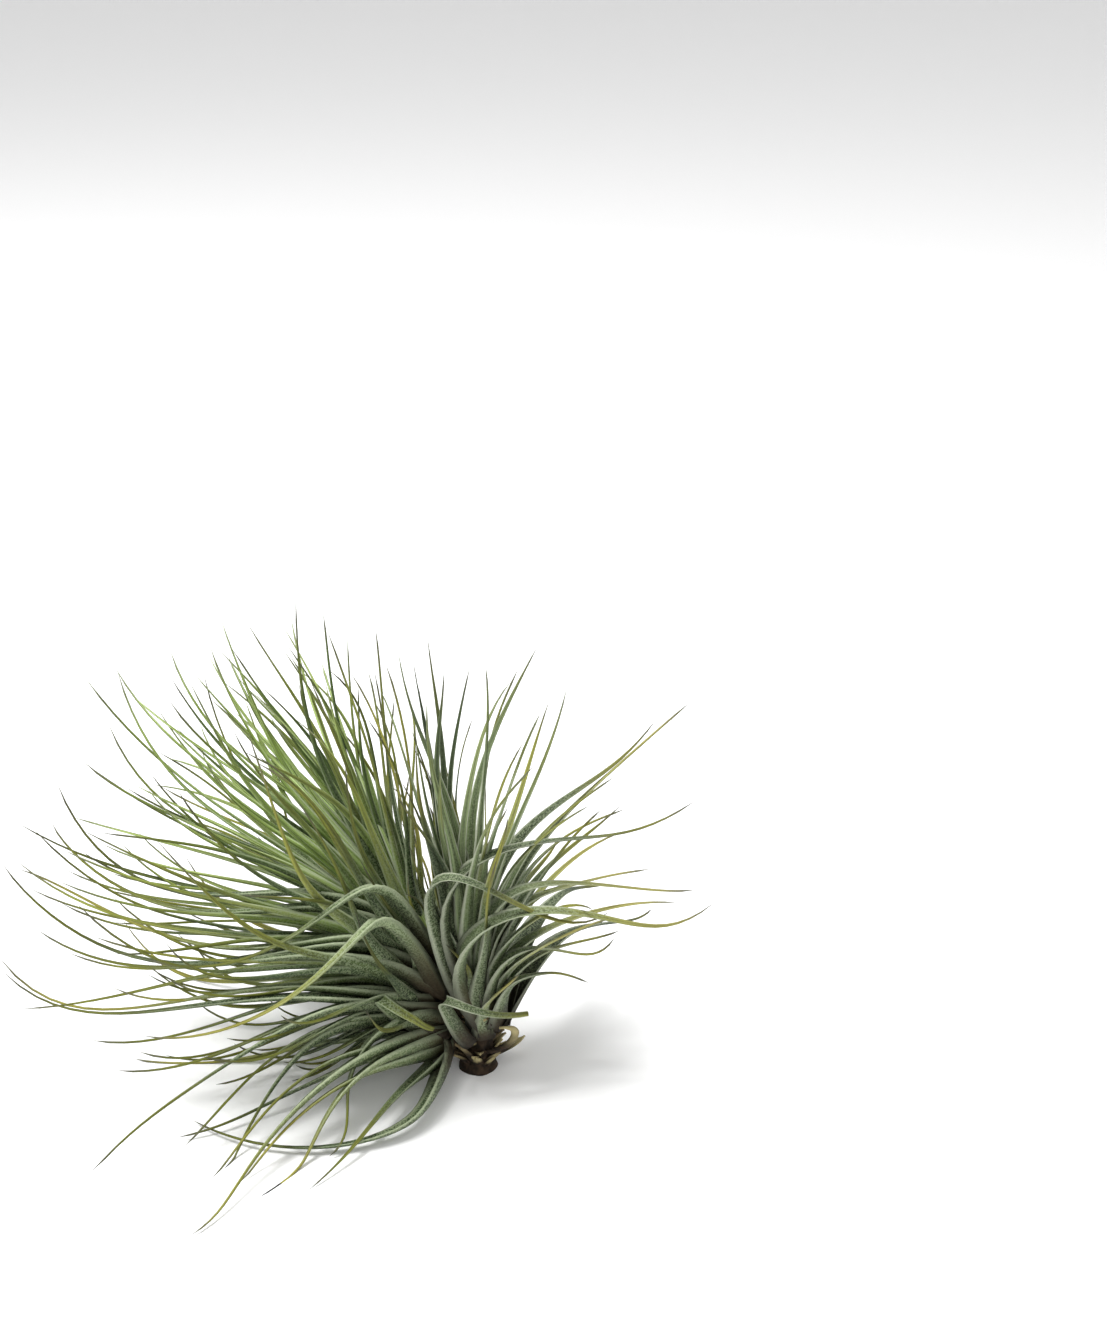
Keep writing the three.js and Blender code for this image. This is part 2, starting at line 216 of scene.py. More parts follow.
# Leaf angles are in degrees from the head's lean: youngest leaf, oldest leaf on the side away
# from `open`, oldest leaf on the side that it opens to. The leaves of `single`, `stub` and
# `drooping` are shaped one by one, by the control points of their curves from root to tip.
GREEN_HEAD = {
    "split_side": -1,
    "foot": (-5.4, 1.2, 4.0),
    "stem": (-0.8, 1.2, 15.0),
    "girth": 1.0,
    "lean": (-0.56, 0.24, 0.80),
    "open": (-1.0, -0.25, -0.25),
    "leaves": 168,
    "seed": 1,
    "length": (60, 73),
    "ring": (0.6, 2.6),
    "crowding": 0.45,
    "pace": 1.0,
    "sway": 0.8,
    "lift": 0.12,
    "sweep": 0.9,
    "start": (2, 12, 26),
    "shoulder": (5, 42, 98),
    "reach": (12, 58, 122),
    "tip": (-5, 15, 22),
    "single": [
        # long leaves sweeping left, one above the other
        [(-6, -1, 12), (-23, -11, 19), (-38, -13, 32), (-60, -15, 8), (-77, -8, 24)],
        [(-6, 0, 13), (-23, -10, 20), (-38, -8, 33), (-62, -12, 3), (-78, -5, 25)],
        [(-6, -1, 14), (-22, -11, 40), (-41, -10, 21), (-58, -11, 24), (-70, -8, 32)],
        [(-6, 0, 15), (-25, -8, 46), (-42, -9, 8), (-67, -9, 30), (-75, -6, 43)],
        [(-6, 1, 17), (-25, -6, 45), (-36, -10, 9), (-60, -5, 38), (-73, -4, 41)],
        [(-6, 2, 18), (-29, -3, 50), (-37, -7, 18), (-65, -2, 38), (-69, 2, 46)],
        [(-6, 2, 18), (-25, -2, 51), (-40, -2, 25), (-61, 0, 31), (-68, 5, 52)],
        # arcs that rise to the front and fall to the left
        [(-5, 1, 15), (-18, -17, 66), (-14, -21, 38), (-38, -17, 27), (-52, -12, 29)],
        [(-6, 0, 12), (-16, -23, 65), (-13, -25, 30), (-37, -27, 22), (-52, -20, 20)],
        # old leaves that come down to the table in front
        [(-6, 0, 6), (-22, -10, 30), (-35, -16, 12), (-48, -23, 13), (-60, -29, 0)],
        [(-5, -1, 6), (-19, -14, 18), (-34, -24, 4), (-35, -34, 3), (-42, -43, -2)],
        [(-5, 0, 7), (-14, -9, 23), (-27, -14, 5), (-17, -20, 5), (-23, -25, 0)],
        [(-6, 0, 6), (-28, -9, 23), (-34, -15, 4), (-34, -21, 8), (-39, -28, -2)],
        [(-5, -1, 6), (-2, -21, 2), (-17, -28, 2), (-32, -26, 1), (-46, -16, 0)],
        [(-5, 0, 6), (-14, -7, 9), (-31, -12, 4), (-36, -16, 1), (-48, -20, 0)],
        [(-6, 1, 6), (-16, -3, 9), (-29, 2, 4), (-46, -3, -1), (-59, 2, -2)],
        [(-5, -1, 6), (-12, -12, 11), (-29, -19, 14), (-25, -27, -7), (-32, -35, -2)],
        # and behind
        [(-6, 2, 7), (-16, 18, 26), (-34, 30, 14), (-44, 42, 2), (-50, 54, -4)],
        [(-5, 3, 7), (-8, 20, 22), (-14, 36, 12), (-14, 48, 0), (-22, 60, -4)],
        [(-6, 2, 6), (-20, 10, 20), (-36, 20, 10), (-52, 24, 0), (-62, 32, -4)],
        [(-5, 3, 6), (-10, 14, 18), (-26, 30, 8), (-30, 40, -4), (-38, 46, -4)],
    ],
    "stub": [
        # a broken leaf that folds back over the others in front
        [(-5, -3, 8), (-14, -8, 14), (-23, -12, 28), (-11, -14, 20), (-1, -12, 15)],
    ],
    "drooping": [
        # shorter leaves in front that arch over and droop
        [(-6, 0, 9), (-15, -4, 12), (-27, -11, 22), (-37, -17, 9), (-46, -24, 2)],
        [(-5, -1, 6), (-14, -7, 6), (-23, -14, 19), (-33, -22, 8), (-41, -30, 0)],
        [(-5, -1, 5), (-12, -9, 4), (-21, -15, 14), (-29, -24, 6), (-36, -31, 0)],
        [(-4, -1, 5), (-8, -8, 2), (-12, -13, 8), (-18, -22, 1), (-25, -33, 0)],
    ],
}


def mix(a, b, t):
    return a + (b - a) * t


def wobble(leaf, draw, seed):
    """The same "random" number from -1 to 1 for the same leaf and draw, every time."""
    number = math.sin(leaf * 12.9898 + draw * 78.233 + seed * 37.719) * 43758.5453
    return (number - math.floor(number)) * 2 - 1


def keep_above(value, low, ease):
    """Leaves a value well above `low` alone, and eases a smaller one so that it stays above it."""
    over = (value - low) / ease
    return value if over > EASED_OUT else low + ease * math.log1p(math.exp(over))


def point_on(points, t):
    """Point of a Bezier curve with any number of control points."""
    while len(points) > 1:
        points = [a.lerp(b, t) for a, b in zip(points, points[1:])]
    return points[0]


def on_plane(vector, normal):
    """The part of a vector that lies across a unit normal, at length 1."""
    return (vector - normal * vector.dot(normal)).normalized()


def direction_at(midline, j):
    """The way a midline runs at its point j."""
    return (midline[min(BLADE_STEPS, j + 1)] - midline[max(0, j - 1)]).normalized()


def blade_width(t, age, girth):
    """The younger a leaf is, the further up its sheath reaches."""
    reach = mix(YOUNG_SHEATH_REACH, OLD_SHEATH_REACH, age)
    width = BLADE_WIDTH * (1 - t) ** BLADE_TAPER + SHEATH_EXTRA_WIDTH * math.exp(-(t / reach) ** 2)
    return max(girth * width, THINNEST_WIDTH)


def blade_thickness(t):
    return mix(ROOT_THICKNESS, TIP_THICKNESS, t)


def spiral_leaf(head, i):
    """Control points and age of the leaf that the head's spiral gives at one place."""
    seed = head["seed"]
    lean = Vector(head["lean"]).normalized()
    to_open = on_plane(Vector(head["open"]), lean)
    beside = lean.cross(to_open)
    age = (i + 0.5) / head["leaves"]
    even = i * GOLDEN_ANGLE + SPIRAL_WOBBLE * wobble(i, DRAW["turn"], seed)
    turn = even - head["crowding"] * math.sin(even)
    out = to_open * math.cos(turn) + beside * math.sin(turn)
    across = lean.cross(out)
    facing = 0.5 + 0.5 * math.cos(turn)

    growth = math.sin(math.pi / 2 * min(1, age / FULL_LENGTH_AGE))
    length = mix(*head["length"], growth) * mix(FAR_SIDE_LENGTH, 1, facing)
    length *= 1 - OLD_LEAF_LOSS * age ** 4 + LENGTH_SPREAD * wobble(i, DRAW["length"], seed)

    up = Vector(head["stem"]).normalized()
    root = Vector(head["foot"]) + up * FIRST_LEAF_HEIGHT + Vector(head["stem"]) * (1 - age)
    points = [root + on_plane(out, up) * mix(*head["ring"], age)]
    for j, (stage, (pace, stray)) in enumerate(STAGES.items()):
        young, far, near = head[stage]
        angle = mix(young, mix(far, near, facing), age ** (pace * head["pace"]))
        angle = math.radians(angle + stray * wobble(i, DRAW["angle"] + j, seed))
        sway = head["sway"] * (0.5 + age) * j / 3 * wobble(i, DRAW["sway"] + j, seed)
        step = lean * math.cos(angle) + out * math.sin(angle) + across * sway
        step += to_open * head["sweep"] * facing * age * j / 3
        points.append(points[-1] + step.normalized() * length / 4)
    lift = head["lift"] * (1 + LIFT_SPREAD * wobble(i, DRAW["lift"], seed)) * math.sqrt(age)
    points[4].z += lift * length
    return points, age


def keep_to_side(point, side, clear, ease):
    """Moves a point that comes near the plane between the heads to its own head's side of it."""
    reach = (point - SPLIT_POINT).dot(SPLIT_NORMAL) * side
    return point + SPLIT_NORMAL * (keep_above(reach, clear, ease) - reach) * side


def straight_blade():
    """A leaf before it is bent: a straight bar of many sides, 1 long."""
    blade = bmesh.new()
    bmesh.ops.create_cone(blade, cap_ends=True, segments=BLADE_SIDES, radius1=1, radius2=1, depth=1)
    lengthwise = [e for e in blade.edges if abs(e.verts[0].co.z - e.verts[1].co.z) > 0.5]
    bmesh.ops.subdivide_edges(blade, edges=lengthwise, cuts=BLADE_STEPS - 1, use_grid_fill=True)
    bmesh.ops.translate(blade, vec=(0, 0, 0.5), verts=blade.verts)
    mesh = bpy.data.meshes.new("straight_blade")
    blade.to_mesh(mesh)
    blade.free()
    return mesh


def section_point(corner, t, width, thickness):
    """Moves a corner of the bar's section to the leaf's, in mm: across, and up from the midline."""
    cup = CUP_DEPTH * width * (1 - t) ** 3
    thread = min(1, max(0, (t - CHANNEL_END) / CHANNEL_FADE))
    out, channelled, round_off, lifted = next(row[1:] for row in SECTION if corner.y > row[0])
    above = thickness * mix(channelled, round_off, thread) + cup * lifted
    return math.copysign(out, corner.x) * width, above


def add_leaf(shoot, blade, data, points, lean, side, traits):
    """Bends a copy of the straight blade along a leaf's curve, inside the shoot's mesh."""
    girth, reach, age, tone, twist, phase = traits
    beside = lean.cross(on_plane(points[-1] - points[0], lean))
    midline = []
    for j in range(BLADE_STEPS + 1):
        t = j / BLADE_STEPS
        thickness = blade_thickness(t)
        point = keep_to_side(point_on(points, t), side, SPLIT_GAP + thickness, SPLIT_EASE)
        point.z = keep_above(point.z, thickness * KEEL_DEPTH - GROUND_PRESS, GROUND_EASE)
        midline.append(point)
    frames = []
    for j, centre in enumerate(midline):
        t = j / BLADE_STEPS
        along = direction_at(midline, j)
        across = on_plane(beside, along)
        wave = WAVE_HEIGHT * t * math.sin(2 * math.pi * (WAVE_COUNT * t + phase))
        centre = centre + across * wave
        across.rotate(Quaternion(along, twist * t ** 2))
        frames.append((centre, across, along.cross(across)))
    first = len(shoot.verts)
    shoot.from_mesh(blade)
    shoot.verts.ensure_lookup_table()
    for vertex in shoot.verts[first:]:
        t = vertex.co.z
        centre, across, up = frames[round(t * BLADE_STEPS)]
        width = blade_width(t * reach, age, girth)
        sideways, above = section_point(vertex.co, t, width, blade_thickness(t * reach))
        closed = TIP_CLOSING if t > 0.999 and reach == 1 else 1
        point = centre + across * sideways * closed + up * above * closed
        point = keep_to_side(point, side, SPLIT_GAP, SPLIT_EASE)
        vertex.co = Vector((point.x, point.y, max(point.z, 0))) * MM
        vertex[data] = (t * (1 + reach) / 2, age, tone, 0.5 + sideways / width)


def leafy_shoot(head, blade):
    """One bmesh of all the leaves of a head. Each leaf's points know their place, age and tone."""
    shoot = bmesh.new()
    data = shoot.verts.layers.float_color.new("leaf")
    lean = Vector(head["lean"]).normalized()
    leaves = [(route, SINGLE_LEAF_AGE, 1, 1) for route in head["single"]]
    leaves += [(route, SINGLE_LEAF_AGE, STUB_GIRTH, STUB_REACH) for route in head["stub"]]
    leaves += [(*spiral_leaf(head, i), 1, 1) for i in range(head["leaves"])]
    leaves += [(route, SINGLE_LEAF_AGE, 1, 1) for route in head["drooping"]]
    for i, (route, age, girth, reach) in enumerate(leaves):
        points = [Vector(point) for point in route]
        tone = 0.5 + 0.5 * wobble(i, DRAW["tone"], head["seed"])
        twist = LEAF_TWIST * wobble(i, DRAW["twist"], head["seed"]) if reach == 1 else 0
        phase = wobble(i, DRAW["phase"], head["seed"])
        traits = (girth * head["girth"], reach, age, tone, twist, phase)
        add_leaf(shoot, blade, data, points, lean, head["split_side"], traits)
    for face in shoot.faces:
        face.smooth = len(face.verts) == 4
    return shoot


class Wire:
    """An output of a shader node. Sums and products of wires add Math nodes."""

    def __init__(self, tree, socket=None):
        self.tree = tree
        self.socket = socket

    def node(self, kind, settings, values, output=0):
        made = self.tree.nodes.new(kind)
        for name, value in settings.items():
            setattr(made, name, value)
        for key, value in values.items():
            if isinstance(value, Wire):
                self.tree.links.new(value.socket, made.inputs[key])
            else:
                made.inputs[key].default_value = value
        return Wire(self.tree, made.outputs[output])

    def math(self, operation, first, second=0.0):
        return self.node("ShaderNodeMath", {"operation": operation}, {0: first, 1: second})

    def __add__(self, other):
        return self.math("ADD", self, other)

    __radd__ = __add__

    def __sub__(self, other):
        return self.math("SUBTRACT", self, other)

    def __rsub__(self, other):
        return self.math("SUBTRACT", other, self)

    def __mul__(self, other):
        return self.math("MULTIPLY", self, other)

    __rmul__ = __mul__

    def step(self, low, high):
        """0 below `low`, 1 above `high`, smooth in between, either way round."""
        return self.node("ShaderNodeMapRange", {"interpolation_type": "SMOOTHSTEP"},
                         {"Value": self, "From Min": low, "From Max": high})

    def blend(self, first, second):
        """From one colour to another as this wire goes from 0 to 1."""
        return self.node("ShaderNodeMix", {"data_type": "RGBA", "clamp_factor": True},
                         {"Factor": self, "A": first, "B": second}, 2)

    def scaled(self, amount):
        """This wire's colour, made darker or lighter by an amount."""
        return self.node("ShaderNodeVectorMath", {"operation": "SCALE"}, {0: self, "Scale": amount})

    def noise(self, scale, detail):
        """A cloudy pattern laid out by this wire's vector."""
        return self.node("ShaderNodeTexNoise", {}, {"Vector": self, "Scale": scale, "Detail": detail})

    def channel(self, name):
        """Red, green or blue of this wire's colour."""
        return self.node("ShaderNodeSeparateColor", {}, {"Color": self}, name)

    def finish(self, shader, colour, height, strength, depth):
        """Sends a colour and a relief, in metres deep, to a shader."""
        relief = {"Strength": strength, "Distance": depth, "Height": height}
        bump = self.node("ShaderNodeBump", {}, relief)
        self.tree.links.new(colour.socket, shader.inputs["Base Color"])
        self.tree.links.new(bump.socket, shader.inputs["Normal"])


# Finish of a leaf: blotches several millimetres across, scales a third of a millimetre across,
# and streaks that run along the leaf and differ from leaf to leaf. A pattern's two numbers are
# its cells per metre and its detail, and a relief's are its strength and its depth.
LEAF_ROUGHNESS = 0.7
LEAF_SPECULAR = 0.35
PATCHES = (130.0, 2.0)
SCALES = (3400.0, 1.0)
STREAKS = (1.0, 3.0)
STREAKS_ACROSS = 12.0
STREAKS_ALONG = 5.0
STREAKS_APART = 90.0
LEAF_RELIEF = (0.6, 0.1 * MM)
THREAD_COLOUR = (0.095, 0.095, 0.060, 1)
SHEATH_COLOUR = (0.120, 0.078, 0.030, 1)
GREEN_FINISH = {
    "fresh": (0.230, 0.340, 0.050, 1),
    "deep": (0.035, 0.070, 0.022, 1),
    "bloom": (0.500, 0.630, 0.270, 1),
    "aged": (0.066, 0.100, 0.032, 1),
    "late_young": (0.130, 0.180, 0.020, 1),
    "late_old": (0.150, 0.165, 0.022, 1),
    "ripe": (0.240, 0.225, 0.040, 1),
    "scurf": (0.350, 0.415, 0.240, 1),
    # The margin colour is the pale rim of scales, and on young leaves also a painted highlight along the
    # edges
    "margin": (0.500, 0.570, 0.370, 1),
    "late_start": 0.42,
    "root_shade": 0.30,
    "sheath_end": 0.16,
    "even_coat": 0.0,
    "spotted_coat": 0.6,
}


def leaf_material(name, finish):
    """Soft matte leaf: green when young, olive towards the end, under a silvery coat of scales."""
    material, shader = new_material(name, LEAF_ROUGHNESS, LEAF_SPECULAR)
    start = Wire(material.node_tree)
    leaf = start.node("ShaderNodeAttribute", {"attribute_name": "leaf"}, {}, "Color")
    across = start.node("ShaderNodeAttribute", {"attribute_name": "leaf"}, {}, "Alpha")
    along = leaf.channel("Red")
    age = leaf.channel("Green")
    tone = leaf.channel("Blue")
    place = start.node("ShaderNodeTexCoord", {}, {}, "Object")
    patches = place.noise(*PATCHES)
    scales = place.noise(*SCALES)
    margin = start.math("ABSOLUTE", across * 2.0 - 1.0)
    along_leaf = {"X": across * STREAKS_ACROSS, "Y": along * STREAKS_ALONG, "Z": tone * STREAKS_APART}
    streaks = start.node("ShaderNodeCombineXYZ", {}, along_leaf).noise(*STREAKS)
    young = age.step(0.6, 0.1)
    late_start = finish["late_start"]

    # Bright when young, dull when old, and some leaves darker than the rest
    colour = age.step(0.1, 0.85).blend(finish["fresh"], finish["aged"])
    colour = (tone.step(0.5, 0.1) * 0.75).blend(colour, finish["deep"])
    # Olive from halfway, in old leaves yellow, and a dry thread at the tip
    drift = along + (tone - 0.5) * 0.36 + (patches - 0.5) * 0.2 - age.step(0.5, 0.0) * 0.2
    late = age.step(0.1, 0.6).blend(finish["late_young"], finish["late_old"])
    colour = drift.step(late_start, late_start + 0.3).blend(colour, late)
    turned = drift.step(late_start + 0.2, late_start + 0.5) * tone.step(0.5, 0.9) * age.step(0.5, 0.8)
    colour = turned.blend(colour, finish["ripe"])
    colour = along.step(0.86, 1.0).blend(colour, THREAD_COLOUR)
    # Brown where it clasps the stem, and pale streaks in the young ones
    brown = (along + (patches - 0.5) * 0.06).step(finish["sheath_end"], 0.03)
    colour = brown.blend(colour, SHEATH_COLOUR)
    colour = (streaks.step(0.42, 0.60) * young * tone.step(0.1, 0.6) * 0.7).blend(colour, finish["bloom"])
    # Tone that differs from leaf to leaf and in streaks, with painted shade along the channelled middle
    # of each leaf and on the oldest, lowest leaves
    tone_and_painted_shade = (tone * 0.6 + patches * 0.4 + 0.5) * (streaks.step(0.3, 0.7) * 0.4 + 0.8)
    tone_and_painted_shade = tone_and_painted_shade * (1.0 - margin.step(0.5, 0.1) * 0.4) * (1.0 - age.step(0.75, 1.0) * 0.3)
    colour = colour.scaled(tone_and_painted_shade)
    # Stippled with scales up to where it turns olive, with a pale rim of scales, and on the young leaves
    # a painted highlight along the edges
    scurfy = along.step(late_start + 0.35, late_start - 0.05) * along.step(0.0, 0.06)
    coat = scales.step(0.44, 0.58) * finish["spotted_coat"] + finish["even_coat"]
    coat = coat * (age * 0.7 + 0.3) + tone.step(0.6, 1.0) * 0.2
    colour = (coat * scurfy * (1.0 - brown * 0.75)).blend(colour, finish["scurf"])
    pale_rim_and_edge_highlight = margin.step(0.68, 0.92) * (scurfy * 0.6 + young * along.step(0.85, 0.6) * 0.4)
    colour = pale_rim_and_edge_highlight.blend(colour, finish["margin"])
    # Painted shade between the crowded roots
    painted_root_shade = along.step(0.26, 0.0) * (age.step(0.1, 0.5) * 0.6 + 0.4)
    colour = colour.scaled(1.0 - painted_root_shade * (1 - finish["root_shade"]))
    start.finish(shader, colour, scales * 0.6 + streaks * 0.8, *LEAF_RELIEF)
    return material


blade_mesh = straight_blade()
green_leaves = leafy_shoot(GREEN_HEAD, blade_mesh)
green_head = new_object("green_head_leaves", green_leaves, leaf_material("green_leaf", GREEN_FINISH))
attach(green_head, "root")
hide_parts("main_rosette")

# Silver head
# The smaller shoot on the right, of the same leaf but thickly coated in silvery scales.
# Its stiff leaves rise, fold over and reach right, and turn yellow towards their ends.
SILVER_HEAD = {
    "split_side": 1,
    "foot": (1.4, -2.0, 7.0),
    "stem": (-0.9, -0.4, 9.5),
    "girth": 1.15,
    "lean": (-0.19, 0.04, 0.98),
    "open": (1.0, 0.35, 0.0),
    "leaves": 50,
    "seed": 2,
    "length": (68, 50),
    "ring": (0.5, 2.0),
    "crowding": 0.45,
    "pace": 0.9,
    "sway": 0.5,
    "lift": 0.05,
    "sweep": 0.4,
    "start": (1, 2, 14),
    "shoulder": (3, 6, 54),
    "reach": (5, 9, 90),
    "tip": (6, 12, 84),
    "single": [
        # stiff silvery leaves that rise, fold over and reach right
        [(2, -2, 12), (-11, -7, 28), (-14, -9, 54), (0, -11, 48), (12, -13, 31), (22, -9, 36)],
        [(2, -2, 11), (-15, -12, 34), (19, -18, 56), (24, -9, 24), (40, 0, 32)],
        [(2, -2, 13), (-21, -8, 48), (16, -11, 54), (18, -2, 41), (36, 8, 47)],
        [(3, -2, 12), (-4, -7, 43), (12, -13, 49), (23, 0, 32), (37, 6, 31)],
        [(3, -2, 11), (0, -7, 27), (11, -10, 36), (17, -1, 17), (23, 0, 26)],
        [(4, -2, 10), (4, -7, 21), (7, -8, 25), (11, -7, 24), (19, -3, 18)],
        [(3, -2, 12), (-2, -5, 36), (14, 1, 36), (17, 9, 31), (30, 14, 30)],
        # long ones to the upper right
        [(2, -1, 13), (-1, 4, 32), (14, 10, 40), (22, 19, 49), (36, 25, 57)],
        [(2, -1, 13), (-3, 3, 35), (10, 12, 47), (20, 16, 44), (31, 24, 54)],
        # low ones behind
        [(4, -1, 9), (8, 10, 26), (14, 22, 24), (19, 30, 16), (23, 37, 14)],
        [(4, -1, 9), (12, 6, 25), (20, 14, 21), (25, 20, 15), (31, 26, 15)],
    ],
    "stub": [
        # a broken leaf that folds over in front of the stem
        [(-1, -4, 8), (-8, -8, 13), (-9, -12, 29), (0, -13, 18), (9, -10, 16.5)],
    ],
    "drooping": [],
}
SILVER_FINISH = {
    "fresh": (0.085, 0.125, 0.042, 1),
    "deep": (0.030, 0.050, 0.022, 1),
    "bloom": (0.240, 0.300, 0.150, 1),
    "aged": (0.062, 0.092, 0.032, 1),
    "late_young": (0.120, 0.140, 0.035, 1),
    "late_old": (0.230, 0.230, 0.040, 1),
    "ripe": (0.320, 0.295, 0.090, 1),
    "scurf": (0.320, 0.375, 0.225, 1),
    # The margin colour is the pale rim of scales, and on young leaves also a painted highlight along the
    # edges
    "margin": (0.560, 0.600, 0.450, 1),
    "late_start": 0.50,
    "root_shade": 0.20,
    "sheath_end": 0.17,
    "even_coat": 0.04,
    "spotted_coat": 0.5,
}

silver_leaves = leafy_shoot(SILVER_HEAD, blade_mesh)
silver_head = new_object("silver_head_leaves", silver_leaves, leaf_material("silver_leaf", SILVER_FINISH))
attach(silver_head, "root")
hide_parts("side_rosette")

# Withered stem
# What is left of the parent plant: a short dead stock, cut flat below, that forks to the two heads.
# It is dark brown fibre, made near-black as painted shade in the hollow under the heads, wrapped in the
# papery, curled remains of old leaf sheaths.
FOOT_RADIUS = 3.4
STOCK_HEIGHT = 3.0
STOCK_TOP_RADIUS = 2.2
BRANCH_START_HEIGHT = 0.8
BRANCH_ROOT_RADIUS = 2.3
GREEN_BRANCH_RADIUS = 2.6
SILVER_BRANCH_RADIUS = 2.0
CORE_REACH = 0.7
STEM_SIDES = 28
STEM_RINGS = 12
STEM_LUMPS = 0.14
DRY_WIDTH = 2.6
DRY_TAPER = 0.6
DRY_NARROWEST = 0.3
DRY_THICKNESS = 0.45
DRY_CURL = (0.15, 0.45)
DRY_GROUND_EASE = 0.3
DRY_LEAVES = [
    [(1, -1, 3), (4, -4, 5), (8, -7, 9), (8, -8, 14), (4, -8, 13)],
    [(-1, -2, 2), (-1, -4, 4), (-2, -5, 6.5), (-3.5, -5.5, 8)],
    [(1, 0, 1.2), (5, 2.5, 1), (7, 4, 1.5), (8, 4, 3)],
    [(0, 1, 1.2), (1, 5, 1), (2, 7, 1), (1.5, 8, 2)],
    [(0, 1, 1.2), (-2, 5, 1), (-4, 7, 1), (-5, 8, 2)],
]
SCALE_COUNT = 54
SCALE_LENGTH = 5.0
SCALES_START = 0.4
SCALE_PLACES = (0.15, 0.85)
SCALE_SEAT = 0.7
DRY_ROUGHNESS = 0.85
DRY_SPECULAR = 0.2
FIBRES = (900.0, 4.0)
BLOTCHES = (260.0, 2.0)
DRY_RELIEF = (0.7, 0.2 * MM)
# Dark brown fibre, made near-black as painted shade of the hollow under the heads
BARK_AND_SHADE_COLOURS = ((0.010, 0.007, 0.004, 1), (0.045, 0.028, 0.016, 1))
PAPER_COLOURS = ((0.070, 0.048, 0.024, 1), (0.430, 0.370, 0.190, 1))


def lumpy_limb(stem, data, low, high, low_radius, high_radius, draws):
    """A round limb from one point to another, with ridges along it and swellings across it."""
    first = len(stem.verts)
    bmesh.ops.create_cone(stem, cap_ends=True, segments=STEM_SIDES, radius1=1, radius2=1, depth=1)
    stem.verts.ensure_lookup_table()
    edges = {edge for vertex in stem.verts[first:] for edge in vertex.link_edges}
    lengthwise = [e for e in edges if abs(e.verts[0].co.z - e.verts[1].co.z) > 0.5]
    lengthwise.sort(key=lambda edge: math.atan2(edge.verts[0].co.y, edge.verts[0].co.x))
    bmesh.ops.subdivide_edges(stem, edges=lengthwise, cuts=STEM_RINGS - 1, use_grid_fill=True)
    stem.verts.ensure_lookup_table()
    turn = Vector((0, 0, 1)).rotation_difference((high - low).normalized())
    ridges = [draws.uniform(0, 2 * math.pi) for _ in range(4)]
    for vertex in stem.verts[first:]:
        t = vertex.co.z + 0.5
        angle = math.atan2(vertex.co.y, vertex.co.x)
        lump = math.sin(5 * angle + ridges[0] + 3 * t) + 0.6 * math.sin(9 * angle + ridges[1] - 4 * t)
        lump += 0.8 * math.sin(11 * t + ridges[2]) * math.sin(2 * angle + ridges[3])
        radius = mix(low_radius, high_radius, t) + STEM_LUMPS * lump * min(1, 0.5 + 8 * t)
        pale_rim_and_edge_highlight = Vector((vertex.co.x * radius, vertex.co.y * radius, 0))
        pale_rim_and_edge_highlight.rotate(turn)
        point = low.lerp(high, t) + pale_rim_and_edge_highlight
        vertex.co = Vector((point.x, point.y, max(point.z, 0))) * MM
        vertex[data] = (0, 0, 0, 0)


def add_dry_leaf(stem, data, blade, points, width, draws):
    """A papery strip along a curve, flat and thin, with its margins curled in."""
    curl = draws.uniform(*DRY_CURL)
    tone = draws.random()
    upright = Vector((0, 0, 1))
    run = points[-1] - points[0]
    beside = Vector((1, 0, 0))
    if run.cross(upright).length > 0.1:
        beside = upright.cross(on_plane(run, upright))
    midline = []
    for j in range(BLADE_STEPS + 1):
        point = point_on(points, j / BLADE_STEPS)
        point.z = keep_above(point.z, DRY_THICKNESS, DRY_GROUND_EASE)
        midline.append(point)
    first = len(stem.verts)
    stem.from_mesh(blade)
    stem.verts.ensure_lookup_table()
    for vertex in stem.verts[first:]:
        t = vertex.co.z
        j = round(t * BLADE_STEPS)
        along = direction_at(midline, j)
        across = on_plane(beside, along)
        half = 0.5 * max(DRY_NARROWEST, width * (1 - DRY_TAPER * t) * (1 - t ** 6))
        rise = 2 * half * curl * vertex.co.x ** 2 + 0.5 * DRY_THICKNESS * vertex.co.y
        point = midline[j] + across * vertex.co.x * half + along.cross(across) * rise
        vertex.co = Vector((point.x, point.y, max(point.z, 0))) * MM
        vertex[data] = (t, 1, tone, 0.5)


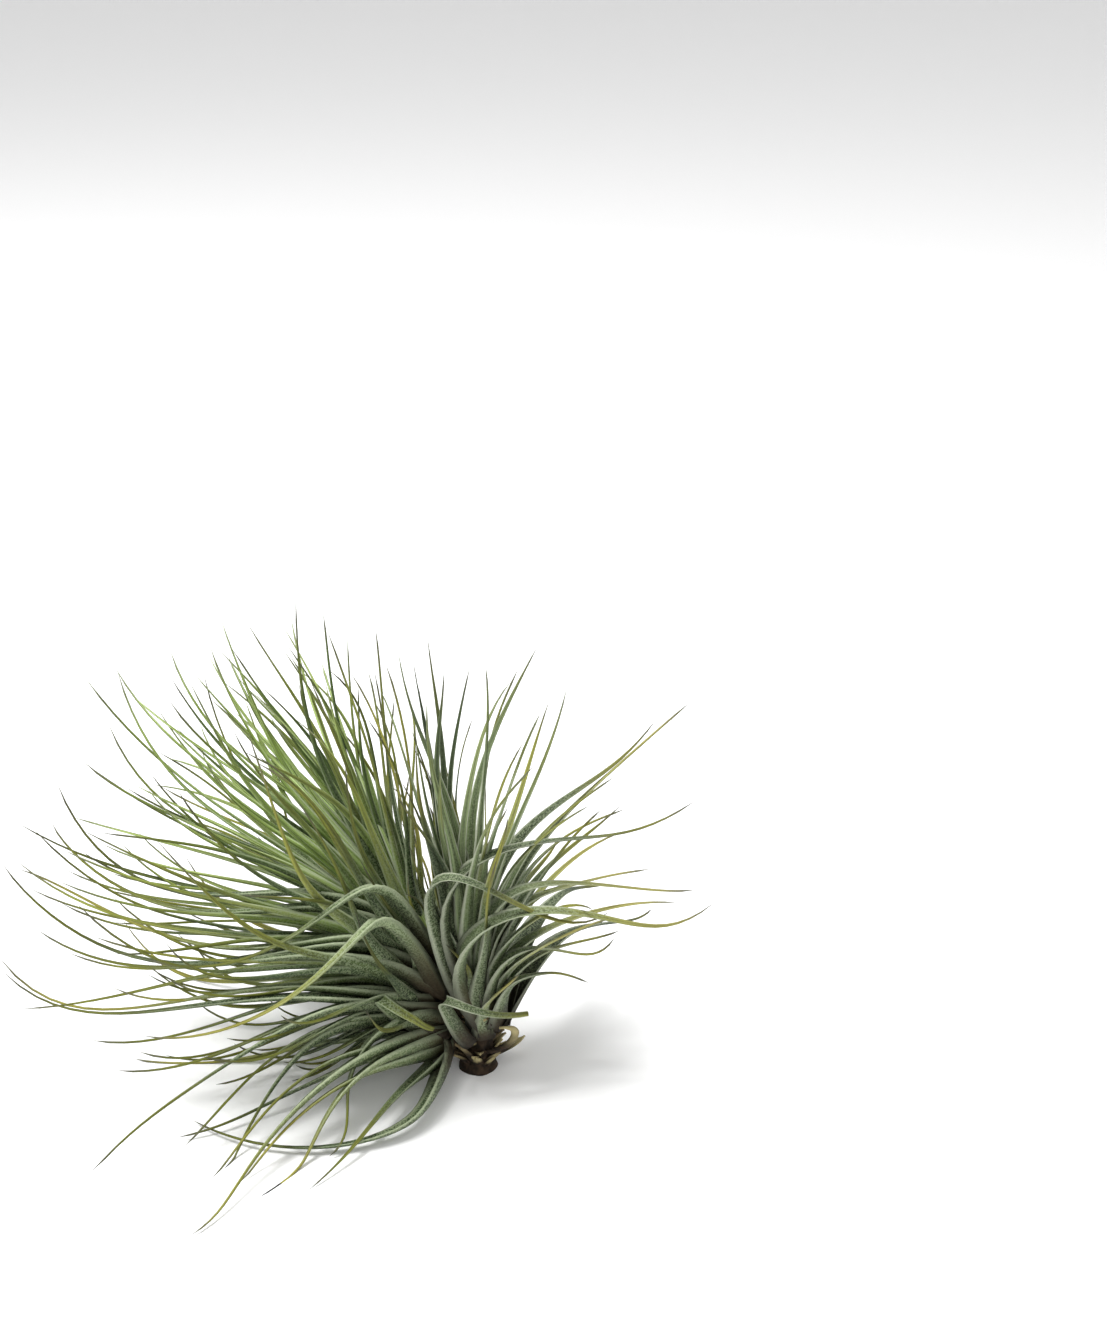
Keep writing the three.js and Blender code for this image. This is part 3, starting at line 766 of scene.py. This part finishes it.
draws = random.Random(7)
stem = bmesh.new()
stem_data = stem.verts.layers.float_color.new("leaf")
stock_top = Vector((0, 0, STOCK_HEIGHT))
lumpy_limb(stem, stem_data, Vector((0, 0, 0)), stock_top, FOOT_RADIUS, STOCK_TOP_RADIUS, draws)
limbs = [(Vector((0, 0, SCALES_START)), stock_top, FOOT_RADIUS)]
for head, radius in ((GREEN_HEAD, GREEN_BRANCH_RADIUS), (SILVER_HEAD, SILVER_BRANCH_RADIUS)):
    low = Vector((0, 0, BRANCH_START_HEIGHT))
    seat = Vector(head["foot"]) + Vector(head["stem"]) * CORE_REACH
    limbs.append((low, seat, radius))
    lumpy_limb(stem, stem_data, low, seat, BRANCH_ROOT_RADIUS, radius, draws)
for route in DRY_LEAVES:
    add_dry_leaf(stem, stem_data, blade_mesh, [Vector(point) for point in route], DRY_WIDTH, draws)
for i in range(SCALE_COUNT):
    low, seat, radius = limbs[i % 3]
    along = (seat - low).normalized()
    turn = i * GOLDEN_ANGLE
    side = on_plane(Vector((1, 0, 0)), along)
    out = side * math.cos(turn) + along.cross(side) * math.sin(turn)
    root = low.lerp(seat, mix(*SCALE_PLACES, draws.random())) + out * radius * SCALE_SEAT
    length = SCALE_LENGTH * draws.uniform(0.6, 1.1)
    bend = draws.uniform(0.0, 0.4)
    middle = root + (along + out * 0.5) * length * 0.4
    end = root + (along + out * (0.6 + bend)) * length * 0.75
    width = DRY_WIDTH * draws.uniform(0.8, 1.3)
    add_dry_leaf(stem, stem_data, blade_mesh, [root, middle, end], width, draws)
for face in stem.faces:
    face.smooth = len(face.verts) == 4

dry_material, dry_shader = new_material("withered_fibre", DRY_ROUGHNESS, DRY_SPECULAR)
dry = Wire(dry_material.node_tree)
dry_leaf = dry.node("ShaderNodeAttribute", {"attribute_name": "leaf"}, {}, "Color")
dry_place = dry.node("ShaderNodeTexCoord", {}, {}, "Object")
fibre = dry_place.noise(*FIBRES)
blotch = dry_place.noise(*BLOTCHES)
# Fibre of the stock, its near-black partly painted shade
bark_and_shade = fibre.step(0.35, 0.7).blend(*BARK_AND_SHADE_COLOURS)
paper = (blotch * 0.7 + dry_leaf.channel("Blue") * 0.5).step(0.3, 0.9).blend(*PAPER_COLOURS)
paper = dry_leaf.channel("Red").step(0.3, 0.8).blend(bark_and_shade, paper)
dry_colour = dry_leaf.channel("Green").blend(bark_and_shade, paper)
dry.finish(dry_shader, dry_colour, fibre, *DRY_RELIEF)
withered_stem = new_object("withered_stem", stem, dry_material)
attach(withered_stem, "root")
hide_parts("old_stem")

low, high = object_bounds()
